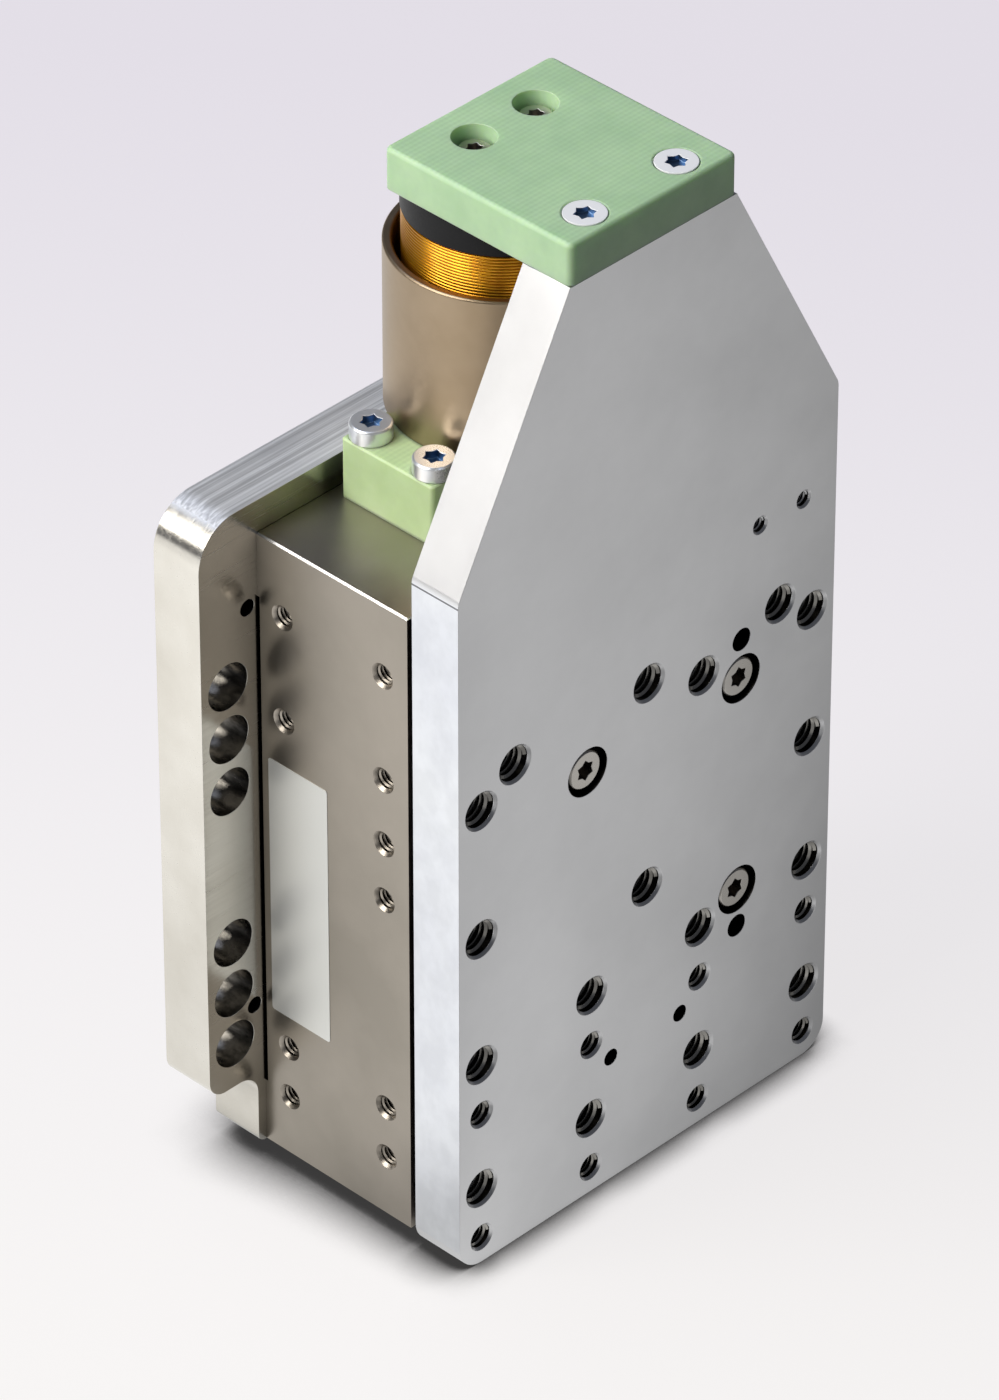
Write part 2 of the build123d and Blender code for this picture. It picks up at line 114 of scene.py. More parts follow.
def noise(tree, place, size_mm, detail, roughness=0.5):
    return add(tree, "TexNoise", inputs={
        "Vector": place, "Scale": 1 / (size_mm * MM), "Detail": detail,
        "Roughness": roughness}).outputs["Fac"]


def blended(tree, value, dark, light, start=0.0, end=1.0):
    """A colour that goes from dark to light as the value goes from start to end."""
    ramp = add(tree, "ValToRGB", inputs={"Fac": value})
    ramp.color_ramp.elements[0].position = start
    ramp.color_ramp.elements[0].color = colour(dark)
    ramp.color_ramp.elements[1].position = end
    ramp.color_ramp.elements[1].color = colour(light)
    return ramp.outputs["Color"]


def grey(value):
    return (value, value, value, 1)


def new_material(name):
    mat = bpy.data.materials.new(name)
    mat.use_nodes = True
    mat.node_tree.nodes.clear()
    return mat, mat.node_tree


def only(*pieces):
    """Selects these pieces and nothing else."""
    bpy.ops.object.select_all(action="DESELECT")
    for piece in pieces:
        piece.select_set(True)
    bpy.context.view_layer.objects.active = pieces[0]


# %% [markdown]
# Milled, ground and wire-cut metal differ in three things that the eye reads at once: the colour,
# how far the reflections spread, and which way the fine tool marks run. One function builds all of
# them. The marks are noise squeezed to the pitch of the cutter and stretched along its path, and a
# slow cloudiness changes the roughness, the way handling and cleaning do. In holes and narrow gaps
# the colour is darkened: painted shade.

# %% Metal finishes
MOTTLE_MM = 24   # size of the clouds that handling leaves
# DEEPEST is the share of the colour that painted shade leaves in the deepest corner
DEEPEST = 0.18   # what is left of the colour in the deepest corner


def machined_metal(name, light, dark, roughness, cloud, pitch_mm, stretch, bump, painted_shade_mm=0.0,
                   painted_shade_range=(0.15, 0.55), streaks=0.08, lines=0.0, relief_mm=0.02, metallic=1.0):
    """cloud, streaks and lines say how much the mottle changes the roughness, and the marks the
    roughness and the colour. Near walls the colour sinks, out to the given mm: painted shade."""
    mat, tree = new_material(name)
    place = add(tree, "TexCoord").outputs["Object"]
    per_metre = [1 / (pitch_mm * MM * s) for s in stretch]
    path = add(tree, "Mapping", inputs={"Vector": place, "Scale": per_metre})
    marks = add(tree, "TexNoise", inputs={
        "Vector": path.outputs[0], "Scale": 1.0, "Detail": 3.0, "Roughness": 0.6}).outputs["Fac"]
    mottle = noise(tree, place, MOTTLE_MM, 4.0, 0.55)
    tint = blended(tree, mottle, dark, light, 0.32, 0.66)
    if lines:
        tint = shaded(tree, tint, remap(tree, marks, 0.38, 0.62, 1 - lines, 1.0))
    # Painted shade: the colour sinks where walls stand near
    if painted_shade_mm:
        painted_shade = add(tree, "AmbientOcclusion", {"samples": 8}, {"Distance": painted_shade_mm * MM})
        tint = shaded(tree, tint, remap(tree, painted_shade.outputs["AO"], *painted_shade_range, DEEPEST, 1.0))
    spread = remap(tree, mottle, 0.3, 0.7, roughness - cloud, roughness + cloud)
    worn = add(tree, "Math", {"operation": "MULTIPLY_ADD"}, {0: marks, 1: streaks, 2: spread})
    relief = add(tree, "Bump", inputs={
        "Strength": bump, "Distance": relief_mm * MM, "Height": marks})
    skin = add(tree, "BsdfPrincipled", inputs={
        "Metallic": metallic, "Base Color": tint, "Roughness": worn.outputs[0],
        "Normal": relief.outputs[0]})
    add(tree, "OutputMaterial", inputs={"Surface": skin.outputs[0]})
    return mat


# Aluminium, fine milled and lightly bead blasted: neutral grey with wide, soft reflections
CARRIAGE = machined_metal("bead_blasted_aluminium", "#e9e9ea", "#dcdcdd", 0.33, 0.02, 0.30,
                          (1, 1, 1), 0.20, painted_shade_mm=2.5)
# The carriage plate's upright sides, end milled: pale, with small clouds where the cutter rubbed
RIM = machined_metal("end_milled_aluminium", "#eceef1", "#dcdee4", 0.33, 0.04, 4.50, (1, 1, 1.4),
                     0.20, painted_shade_mm=2.5, streaks=0.10, lines=0.09)
# The corner under each shoulder is rounded over and coloured dark grey: painted dark reflection
PAINTED_DARK_CORNER = machined_metal("painted_dark_rounded_corner", "#7b7b7e", "#666669", 0.30, 0.02, 0.30, (1, 1, 1), 0.1)
# Aluminium, fly cut: marks about 0.45 mm apart run across the width, and between them it is nearly
# a mirror
BASE = machined_metal("fly_cut_aluminium", "#e4e0d7", "#d3cec3", 0.07, 0.02, 0.45,
                      (80, 1, 1), 0.15, painted_shade_mm=11.0, painted_shade_range=(0.32, 0.97), streaks=0.30)
# The base plate's upper edge, side milled, marks along the cutter's path: paler and less metallic
# than the sides, with bright and dark rows, as painted highlight from the lamp above
SIDE_MILLED_PAINTED_HIGHLIGHT = machined_metal("side_milled_aluminium_painted_highlight", "#f6f7f9", "#e0e2e6", 0.22, 0.02, 0.55,
                      (110, 1, 1), 1.0, streaks=0.35, lines=0.42, relief_mm=0.09, metallic=0.35)
# Sharp ground edges of the block, coloured near white: a painted highlight that shows as a bright
# line
PAINTED_HIGHLIGHT_EDGE = machined_metal("painted_highlight_edge", "#faf8f4", "#efece6", 0.20, 0.02, 0.30,
                           (1, 1, 1), 0.1)
# Walls of drilled holes: rough from the drill, and dark: painted shade
SHADED_BORE = machined_metal("oily_drilled_wall", "#a9a49b", "#6f6b64", 0.22, 0.08, 1.30, (3, 3, 1), 0.6,
                      painted_shade_mm=6.0, painted_shade_range=(0.12, 0.85), lines=0.7)
# Hardened steel, wire cut and heat treated: a warm straw grey with soft upright clouds
BLOCK = machined_metal("wire_cut_steel", "#a8a095", "#979085", 0.31, 0.06, 0.25, (1, 1, 10), 0.25,
                       painted_shade_mm=2.0)
# Steel barrel, turned and satin nickel plated: the marks run round it
BARREL = machined_metal("satin_nickel_plate", "#ad9a82", "#938169", 0.34, 0.06, 0.22,
                        (9, 9, 1), 0.25, painted_shade_mm=1.5)
# Stainless steel, turned heads, a little dull from handling
SCREW = machined_metal("turned_stainless", "#d2cec8", "#b9b4ad", 0.24, 0.05, 0.20, (1, 1, 1), 0.25)
# Steel with bright zinc plate: pale and bluish
ZINC = machined_metal("bright_zinc_plate", "#f6f8fa", "#e4e8ed", 0.26, 0.05, 0.20, (1, 1, 1), 0.2,
                      metallic=0.75)
# The same plate on a brushed flat head: matt white
BRUSHED = machined_metal("brushed_zinc_plate", "#ffffff", "#f6f8fa", 0.50, 0.04, 0.20,
                         (1, 1, 1), 0.15, metallic=0.0)
# The drive recesses, darker and bluer than the head: painted shade
PAINTED_RECESS_SHADE = machined_metal("blue_grey_painted_recess_shade", "#8aa4c2", "#5c7898", 0.30, 0.05, 0.20,
                        (1, 1, 1), 0.2)
# The stamped drives of the stainless screws, darker than the turned heads: painted shade
PAINTED_DRIVE_SHADE = machined_metal("stamped_drive_painted_shade", "#a09a92", "#77716a", 0.30, 0.05, 0.20, (1, 1, 1), 0.3)
# Dark oxide of the hardened pins
OXIDE = machined_metal("dark_oxide", "#4b4742", "#37332f", 0.35, 0.05, 0.20, (1, 1, 1), 0.2)
# Drawn stainless wire of the thread inserts
WIRE = machined_metal("insert_wire", "#bbb8b2", "#a29f99", 0.20, 0.03, 0.20, (1, 1, 1), 0.2,
                      painted_shade_mm=2.2, painted_shade_range=(0.02, 0.60))
# Magnet and pole piece, ground and nickel plated
MAGNET = machined_metal("ground_nickel_plate", "#c9c8c5", "#b7b6b3", 0.25, 0.03, 0.20,
                        (1, 1, 1), 0.2)
print("metals:", len(bpy.data.materials))

# %% [markdown]
# The green pieces are glass cloth pressed in epoxy resin. A milled face cuts through the cloth and
# shows its rows, about 1 mm apart, a little uneven. Light sinks a short way into the resin, which
# softens the edges and makes them glow. The cut sides show no rows, only a faint cloudiness.

# %% Green glass-cloth laminate
CLOTH_PITCH_MM = 0.95


def glass_laminate(name, light, dark, row):
    mat, tree = new_material(name)
    place = add(tree, "TexCoord").outputs["Object"]
    facing = add(tree, "SeparateXYZ", inputs={0: add(tree, "NewGeometry").outputs["Normal"]})
    # A Wave texture repeats every tau / 20 of its own units
    cloth_scale = math.tau / 20 / (CLOTH_PITCH_MM * MM)
    rows, columns = [add(tree, "TexWave", {"wave_type": "BANDS", "bands_direction": way}, {
        "Vector": place, "Scale": cloth_scale, "Distortion": 0.8, "Detail": 2.0,
        "Detail Scale": 1.5}).outputs["Fac"] for way in ("Y", "X")]
    cloth = add(tree, "Math", {"operation": "MULTIPLY_ADD"}, {
        0: columns, 1: 0.4, 2: rows}).outputs[0]
    shown = times(tree, cloth, remap(tree, facing.outputs["Z"], 0.6, 0.95))
    resin = blended(tree, noise(tree, place, 8, 5.0, 0.6), dark, light, 0.34, 0.68)
    cut = add(tree, "Mix", {"data_type": "RGBA"}, {
        "Factor": times(tree, shown, 0.21), 6: resin, 7: colour(row)}).outputs[2]
    # Painted shade: the colour darkens in seams and inside corners within 1 mm
    painted_seam_shade = add(tree, "AmbientOcclusion", {"samples": 8}, {"Distance": 1.0 * MM})
    cut = shaded(tree, cut, remap(tree, painted_seam_shade.outputs["AO"], 0.35, 0.85, 0.25))
    relief = add(tree, "Bump", inputs={"Strength": 0.3, "Distance": 0.03 * MM, "Height": shown})
    skin = add(tree, "BsdfPrincipled", inputs={
        "Base Color": cut, "Roughness": 0.45, "IOR": 1.55, "Normal": relief.outputs[0],
        "Subsurface Weight": 0.4, "Subsurface Radius": (0.8, 1.0, 0.4),
        "Subsurface Scale": 2.5 * MM})
    add(tree, "OutputMaterial", inputs={"Surface": skin.outputs[0]})
    return mat


# Glass cloth in green epoxy resin; the bracket gets a lighter, yellower copy of it: painted light
LAMINATE = glass_laminate("green_glass_laminate", "#c9eabd", "#bbdeb2", "#9bc094")
PAINTED_LIT_LAMINATE = glass_laminate("painted_lit_glass_laminate", "#d3ebb6", "#c7e1a8", "#a7c48c")

# %% [markdown]
# The coil's wire is copper under clear enamel: a coloured metal below a hard, clear coat. Its
# former is black moulded polymer with a fine grain of 0.4 mm that breaks up the shine.

# %% Coil finishes
mat, tree = new_material("enamelled_copper")
place = add(tree, "TexCoord").outputs["Object"]
enamel = blended(tree, noise(tree, place, 4, 3.0), "#b4620f", "#e9ae22")
skin = add(tree, "BsdfPrincipled", inputs={
    "Base Color": enamel, "Metallic": 0.9, "Roughness": 0.28,
    "Coat Weight": 0.25, "Coat Roughness": 0.12})
add(tree, "OutputMaterial", inputs={"Surface": skin.outputs[0]})
COPPER = mat

mat, tree = new_material("black_moulded_polymer")
place = add(tree, "TexCoord").outputs["Object"]
grain = noise(tree, place, 0.4, 2.0)
relief = add(tree, "Bump", inputs={"Strength": 0.2, "Distance": 0.02 * MM, "Height": grain})
shine = remap(tree, grain, 0.0, 1.0, 0.40, 0.56)
skin = add(tree, "BsdfPrincipled", inputs={
    "Base Color": colour("#141416"), "Specular IOR Level": 0.2, "Roughness": shine,
    "Normal": relief.outputs[0]})
add(tree, "OutputMaterial", inputs={"Surface": skin.outputs[0]})
FORMER = mat

# %% [markdown]
# The label is polyester foil with a silver print layer. It is paler than the steel round it, and a
# faint upright grain from the rollers keeps it from looking like plain paper.

# %% Label foil
mat, tree = new_material("silver_polyester_foil")
place = add(tree, "TexCoord").outputs["Object"]
path = add(tree, "Mapping", inputs={
    "Vector": place, "Scale": (1 / (0.3 * MM), 1 / (0.3 * MM), 1 / (8 * MM))})
brush = add(tree, "TexNoise", inputs={"Vector": path.outputs[0], "Scale": 1.0, "Detail": 2.0})
shine = remap(tree, brush.outputs["Fac"], 0.0, 1.0, 0.34, 0.48)
skin = add(tree, "BsdfPrincipled", inputs={
    "Base Color": colour("#e6e7e3"), "Metallic": 0.5, "Roughness": shine})
add(tree, "OutputMaterial", inputs={"Surface": skin.outputs[0]})
FOIL = mat
print("materials:", len(bpy.data.materials))

# %% [markdown]
# Real machined edges are broken by a tenth or two of a millimetre, and that hairline is what
# catches the light. The CAD solids are sharp, so each visible one is copied, its loose triangles
# are merged back into faces, and its edges get a small bevel. Weighted normals then give each
# vertex the direction of its largest face, so that the flat faces stay flat.

# %% Copy a CAD node and break its edges
BODY_OF = {
    node: body for body, nodes in frame["record"]["behaviour"]["bodies"].items() for node in nodes
}


def dressed(node, finish, edge_mm, chamfer=None):
    """Copies a node. A chamfer is a finish, a width in mm and a test on the ends of an edge."""
    piece = bpy.data.objects.new(node + "_dressed", frame["nodes"][node].data.copy())
    bpy.context.scene.collection.objects.link(piece)
    only(piece)
    bpy.ops.object.mode_set(mode="EDIT")
    bpy.ops.mesh.select_all(action="SELECT")
    bpy.ops.mesh.remove_doubles(threshold=MERGE)
    bpy.ops.mesh.dissolve_limited(angle_limit=math.radians(0.4))
    bpy.ops.object.mode_set(mode="OBJECT")
    piece.data.materials.clear()
    piece.data.materials.append(finish)
    if chamfer:
        # The chamfer's finish is painted light: a highlight on the block's edges, a dark reflection
        # under the shoulders
        painted_edge, width_mm, test = chamfer
        piece.data.materials.append(painted_edge)
        bpy.context.tool_settings.mesh_select_mode = (False, True, False)
        bpy.ops.object.mode_set(mode="EDIT")
        bpy.ops.mesh.select_all(action="DESELECT")
        bpy.ops.object.mode_set(mode="OBJECT")
        for edge in piece.data.edges:
            edge.select = all(test(piece.data.vertices[v].co) for v in edge.vertices)
        bpy.ops.object.mode_set(mode="EDIT")
        bpy.ops.mesh.bevel(offset=width_mm * MM, segments=1, material=1)
        bpy.ops.object.mode_set(mode="OBJECT")
    bpy.ops.object.shade_smooth_by_angle(angle=math.radians(32))
    broken = piece.modifiers.new("broken_edge", "BEVEL")
    broken.width = edge_mm * MM
    broken.segments = 2
    broken.limit_method = "ANGLE"
    broken.angle_limit = math.radians(40)
    bpy.ops.object.modifier_apply(modifier=broken.name)
    bpy.ops.object.shade_smooth_by_angle(angle=math.radians(46))
    flat = piece.modifiers.new("flat_faces", "WEIGHTED_NORMAL")
    flat.mode = "FACE_AREA"
    flat.weight = 100
    flat.keep_sharp = True
    bpy.ops.object.modifier_apply(modifier=flat.name)
    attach(piece, BODY_OF[node])
    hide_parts(node)
    return piece


# %% [markdown]
# Walls of holes get a darker finish of their own: painted shade. A wall is a face that, looking
# straight out, meets the same piece again within the width of a hole. Two kinds of edge are cut
# wider than the rest: the block's upper side edges, near white as painted highlight, and the
# corner under each shoulder of the carriage plate, dark grey as painted reflection. Faces that
# were milled in another way are found by the direction they look in.

# %% Plates, block, coil and housing
WIDEST_HOLE_MM = {"carriage_plate": 9.5, "base_plate": 9.5, "flexure_frame": 4.2}


def paint_bore_shade(piece, widest_mm):
    mesh = piece.data
    skin = BVHTree.FromPolygons([v.co for v in mesh.vertices], [f.vertices for f in mesh.polygons])
    # Hole walls get the darker finish: painted shade
    mesh.materials.append(SHADED_BORE)
    shade_slot = len(mesh.materials) - 1
    count = 0
    for face in mesh.polygons:
        start = face.center + face.normal * SAME_PLACE
        if skin.ray_cast(start, face.normal, widest_mm * MM)[0] is not None:
            face.material_index = shade_slot
            count += 1
    print(piece.name, count, "faces are walls of holes")


def refinish(piece, finish, turned_to):
    """Gives another finish to the plain faces whose normal passes the test."""
    piece.data.materials.append(finish)
    for face in piece.data.polygons:
        if face.material_index == 0 and turned_to(face.normal):
            face.material_index = len(piece.data.materials) - 1


block_low, block_high = (Vector(corner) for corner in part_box("flexure_frame"))


def on_upper_side_edge(point):
    to_side = min(abs(point.x - block_low.x), abs(point.x - block_high.x))
    return to_side < SAME_PLACE and abs(point.z - block_high.z) < SAME_PLACE


plate_side = abs(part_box("carriage_plate")[0][0])
shoulder_foot = max(v.co.z for v in frame["nodes"]["carriage_plate"].data.vertices
                    if plate_side - abs(v.co.x) < SAME_PLACE)


def on_shoulder_foot(point):
    to_side = abs(plate_side - abs(point.x))
    return to_side < SAME_PLACE and abs(point.z - shoulder_foot) < SAME_PLACE


chamfers = {
    "flexure_frame": (PAINTED_HIGHLIGHT_EDGE, 0.26, on_upper_side_edge),
    "carriage_plate": (PAINTED_DARK_CORNER, 0.16, on_shoulder_foot),
}

for node, finish, edge_mm in (
    ("carriage_plate", CARRIAGE, 0.18),
    ("base_plate", BASE, 0.20),
    ("flexure_frame", BLOCK, 0.20),
    ("flexure_shuttle", BLOCK, 0.12),
    ("stage_bar_left", BLOCK, 0.12),
    ("stage_bar_right", BLOCK, 0.12),
    ("coil_top_plate", LAMINATE, 0.38),
    ("magnet_bracket", PAINTED_LIT_LAMINATE, 0.25),
    ("magnet_housing", BARREL, 0.12),
    ("coil_former", FORMER, 0.12),
    ("magnet", MAGNET, 0.10),
    ("pole_piece", MAGNET, 0.10),
):
    piece = dressed(node, finish, edge_mm, chamfers.get(node))
    if node in WIDEST_HOLE_MM:
        paint_bore_shade(piece, WIDEST_HOLE_MM[node])
    if node == "carriage_plate":
        refinish(piece, RIM, lambda normal: abs(normal.x) > 0.99)
    elif node == "base_plate":
        # Up-facing faces get the paler copy: painted highlight
        refinish(piece, SIDE_MILLED_PAINTED_HIGHLIGHT, lambda normal: normal.z > 0.9)
    print(piece.name, len(piece.data.polygons), "faces")

# %% [markdown]
# A screw's drive is stamped before plating. Its recess is coloured darker than the head: painted
# shade. The faces inside it are found by their place: nearer to the screw's axis than the drive is
# wide, and below the head's top but not as deep as the thread's end.

# %% Screws and pins
DRIVE_SHARE = 0.58          # how much of the head's radius the drive takes
DRIVE_DEEPEST = 2.3 * MM


def paint_drive_shade(piece, axis, finish):
    low, high = (Vector(corner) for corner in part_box(piece.name.replace("_dressed", "")))
    middle = (low + high) / 2
    head_radius = (high.x - low.x) / 2
    piece.data.materials.append(finish)
    for face in piece.data.polygons:
        c = face.center
        if axis == "Z":
            off, sunk = math.hypot(c.x - middle.x, c.y - middle.y), high.z - c.z
        else:
            off, sunk = math.hypot(c.x - middle.x, c.z - middle.z), c.y - low.y
        if off < DRIVE_SHARE * head_radius and 0.15 * MM < sunk < DRIVE_DEEPEST:
            face.material_index = 1


for node in sorted(frame["nodes"]):
    if node.startswith("top_screw"):
        paint_drive_shade(dressed(node, BRUSHED, 0.08), "Z", PAINTED_RECESS_SHADE)
    elif node.startswith("bracket_screw"):
        paint_drive_shade(dressed(node, ZINC, 0.08), "Z", PAINTED_RECESS_SHADE)
    elif node.startswith("coil_screw"):
        paint_drive_shade(dressed(node, SCREW, 0.08), "Z", PAINTED_DRIVE_SHADE)
    elif node.startswith("carriage_screw"):
        paint_drive_shade(dressed(node, SCREW, 0.08), "Y", PAINTED_DRIVE_SHADE)
    elif "_pin_" in node:
        dressed(node, OXIDE, 0.08)
    elif "_screw" in node:
        dressed(node, SCREW, 0.08)
print("screws and pins dressed")

# %% [markdown]
# The winding is one wire, laid turn by turn on the former. It is modelled the way it is wound: a
# small circle for the wire's section, placed at the coil's radius, and a Screw modifier that turns
# it round the coil's axis and lifts it by one wire thickness per turn. A thin tube behind it
# closes the view between the turns. Real wire of 0.2 mm would be too fine to show, so the turns
# are drawn at more than twice that.

# %% Wind the coil
low, high = (Vector(corner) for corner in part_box("coil_winding"))
coil_middle = Vector(((low.x + high.x) / 2, (low.y + high.y) / 2, 0))
coil_radius = (high.x - low.x) / 2
wire = 0.55 * MM
turns = int((high.z - low.z) / wire) - 1
pitch = (high.z - low.z) / (turns + 1)

bpy.ops.object.select_all(action="DESELECT")
bpy.ops.mesh.primitive_circle_add(
    vertices=6, radius=pitch / 2, fill_type="NGON",
    location=(coil_radius - pitch / 2, 0, low.z + pitch / 2), rotation=(math.pi / 2, 0, 0))
winding = bpy.context.object
winding.name = "coil_turns"
bpy.ops.object.transform_apply(location=True, rotation=True, scale=True)
helix = winding.modifiers.new("helix", "SCREW")
helix.axis = "Z"
helix.screw_offset = pitch
helix.iterations = turns
helix.steps = helix.render_steps = 72
helix.use_merge_vertices = False
bpy.ops.object.modifier_apply(modifier=helix.name)
bpy.ops.object.mode_set(mode="EDIT")
bpy.ops.mesh.select_all(action="SELECT")
bpy.ops.mesh.remove_doubles(threshold=MERGE)
bpy.ops.mesh.normals_make_consistent(inside=False)
bpy.ops.object.mode_set(mode="OBJECT")
winding.data.transform(Matrix.Translation(coil_middle))
bpy.ops.object.shade_smooth_by_angle(angle=math.radians(75))

bpy.ops.object.select_all(action="DESELECT")
bpy.ops.mesh.primitive_cylinder_add(
    vertices=96, radius=coil_radius - 0.3 * MM, depth=high.z - low.z, end_fill_type="NOTHING",
    location=(0, 0, (low.z + high.z) / 2))
inner_layer = bpy.context.object
bpy.ops.object.transform_apply(location=True, rotation=True, scale=True)
wall = inner_layer.modifiers.new("wall", "SOLIDIFY")
wall.thickness = 1.2 * MM
wall.offset = -1
bpy.ops.object.modifier_apply(modifier=wall.name)
inner_layer.data.transform(Matrix.Translation(coil_middle))
only(winding, inner_layer)
bpy.ops.object.join()
winding.data.materials.clear()
winding.data.materials.append(COPPER)
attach(winding, "carriage")
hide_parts("coil_winding")
print("coil has", turns, "turns,", len(winding.data.polygons), "faces")

# %% [markdown]
# Each large and middle hole of the carriage plate holds a helical wire insert: a thread of
# stainless wire that saves the soft aluminium from wear. A four-sided profile, the wire's crest,
# is screwed up one pitch per turn, and the finished thread is copied into every hole.

# %% One thread, swept by the Screw modifier
def thread(name, bore_mm, depth_mm, pitch_mm, length_mm):
    """A thread that runs down -Z from the origin, its crests pointing at the axis."""
    bpy.ops.object.select_all(action="DESELECT")
    bpy.ops.mesh.primitive_circle_add(
        vertices=4, radius=1, fill_type="NGON", rotation=(math.pi / 2, 0, 0))
    piece = bpy.context.object
    piece.name = name
    bpy.ops.object.transform_apply(location=False, rotation=True, scale=False)
    piece.data.transform(Matrix.Translation((bore_mm * MM, 0, -0.5 * pitch_mm * MM))
                         @ Matrix.Diagonal((depth_mm * MM, 1, 0.30 * pitch_mm * MM, 1)))
    helix = piece.modifiers.new("helix", "SCREW")
    helix.screw_offset = -pitch_mm * MM
    helix.iterations = int(length_mm / pitch_mm) - 1
    helix.steps = helix.render_steps = 28
    helix.use_merge_vertices = False
    bpy.ops.object.modifier_apply(modifier=helix.name)
    bpy.ops.object.mode_set(mode="EDIT")
    bpy.ops.mesh.select_all(action="SELECT")
    bpy.ops.mesh.remove_doubles(threshold=MERGE)
    bpy.ops.mesh.normals_make_consistent(inside=False)
    bpy.ops.object.mode_set(mode="OBJECT")
    bpy.ops.object.shade_smooth_by_angle(angle=math.radians(50))
    return piece


def into_holes(pattern, places, finish, body, name):
    """Copies the pattern to every (point, outward axis), joins the copies and drops the pattern."""
    copies = []
    for point, out in places:
        copy = bpy.data.objects.new(name, pattern.data.copy())
        bpy.context.scene.collection.objects.link(copy)
        turn = Vector((0, 0, 1)).rotation_difference(Vector(out)).to_matrix().to_4x4()
        copy.data.transform(Matrix.Translation(point) @ turn)
        copies.append(copy)
    count = len(copies)
    only(*copies)
    bpy.ops.object.join()
    piece = bpy.context.view_layer.objects.active
    piece.name = name
    piece.data.materials.clear()
    piece.data.materials.append(finish)
    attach(piece, body)
    bpy.data.objects.remove(pattern)
    print(name, count, "threads,", len(piece.data.polygons), "faces")


# %% [markdown]
# The hole field is a 25 mm grid, measured up from the plate's lower edge and out from its middle.

# %% Inserts in the carriage plate
plate_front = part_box("carriage_plate")[0][1]
plate_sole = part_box("carriage_plate")[0][2]


def in_front(x_mm, height_mm):
    point = (x_mm * MM, plate_front + 0.5 * MM, plate_sole + height_mm * MM)
    return (Vector(point), (0, -1, 0))


large_holes = [(side * 37.5, height) for side in (-1, 1) for height in (15, 40, 65, 90)]
large_holes += [(side * 12.5, height) for side in (-1, 1) for height in (15, 40)]
large_holes += [(12.5, 90), (-30, 95), (0, 95), (30, 95), (0, 55)]
into_holes(thread("thread_m6", 3.13, 0.50, 1.0, 9.5), [in_front(*h) for h in large_holes], WIRE,
           "carriage", "inserts_m6")

small_holes = [(side * x, height) for side in (-1, 1) for x in (37.5, 12.5) for height in (5, 30)]
into_holes(thread("thread_m4", 2.12, 0.36, 0.7, 9.5), [in_front(*h) for h in small_holes], WIRE,
           "carriage", "inserts_m4")

pair = [(25, 112.7), (35, 112.7)]
into_holes(thread("thread_m3", 1.37, 0.26, 0.5, 9.5), [in_front(*h) for h in pair], CARRIAGE,
           "carriage", "threads_m3")

# %% [markdown]
# The block is steel, so the holes in its sides have plain cut threads in the block's own metal.

# %% Threads in the block's sides
block_middle_y = (block_low.y + block_high.y) / 2
side_heights = [(h, (-11, 11)) for h in (11.5, 21.5, 86.5, 106.5)]
side_heights += [(h, (-11,)) for h in (63.1, 74.1)]
side_places = []
for side, face_x in ((-1, block_low.x), (1, block_high.x)):
    for height, columns_mm in side_heights:
        for column in columns_mm:
            point = (face_x - side * 0.5 * MM, block_middle_y + column * MM,
                     block_low.z + height * MM)
            side_places.append((Vector(point), (side, 0, 0)))
into_holes(thread("thread_side", 1.77, 0.32, 0.7, 5.5), side_places, BLOCK, "base",
           "threads_block")

# %% [markdown]
# A foil label sits on the block's left face. It is a plane with rounded corners and a little
# thickness, turned to face left, and it stays blank.

# %% Blank label
label_width, label_height, label_thick = 13.1 * MM, 50 * MM, 0.08 * MM
bpy.ops.object.select_all(action="DESELECT")
bpy.ops.mesh.primitive_plane_add(size=1, location=(0, 0, 0))
label = bpy.context.object
label.name = "blank_label"
bpy.ops.object.mode_set(mode="EDIT")
bpy.ops.mesh.select_all(action="SELECT")
bpy.ops.transform.resize(value=(label_width, label_height, 1))
bpy.ops.mesh.bevel(offset=0.5 * MM, segments=4, affect="VERTICES")
bpy.ops.mesh.extrude_region_move(TRANSFORM_OT_translate={"value": (0, 0, label_thick)})
bpy.ops.mesh.select_all(action="SELECT")
bpy.ops.mesh.normals_make_consistent(inside=False)
bpy.ops.object.mode_set(mode="OBJECT")
faces_left = Matrix(((0, 0, -1), (-1, 0, 0), (0, 1, 0))).to_4x4()
label_place = (block_low.x, block_high.y - 8.45 * MM, block_low.z + 52.8 * MM)
label.data.transform(Matrix.Translation(label_place) @ faces_left)
label.data.materials.append(FOIL)
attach(label, "base")
print("label from", tuple(round(c, 4) for c in label.bound_box[0]))

# %% [markdown]
# Each flexure blade is remade as a leaf: a thin box, cut across into short strips. Only the
# edges that run along X are cut, which gives straight loops round the leaf.

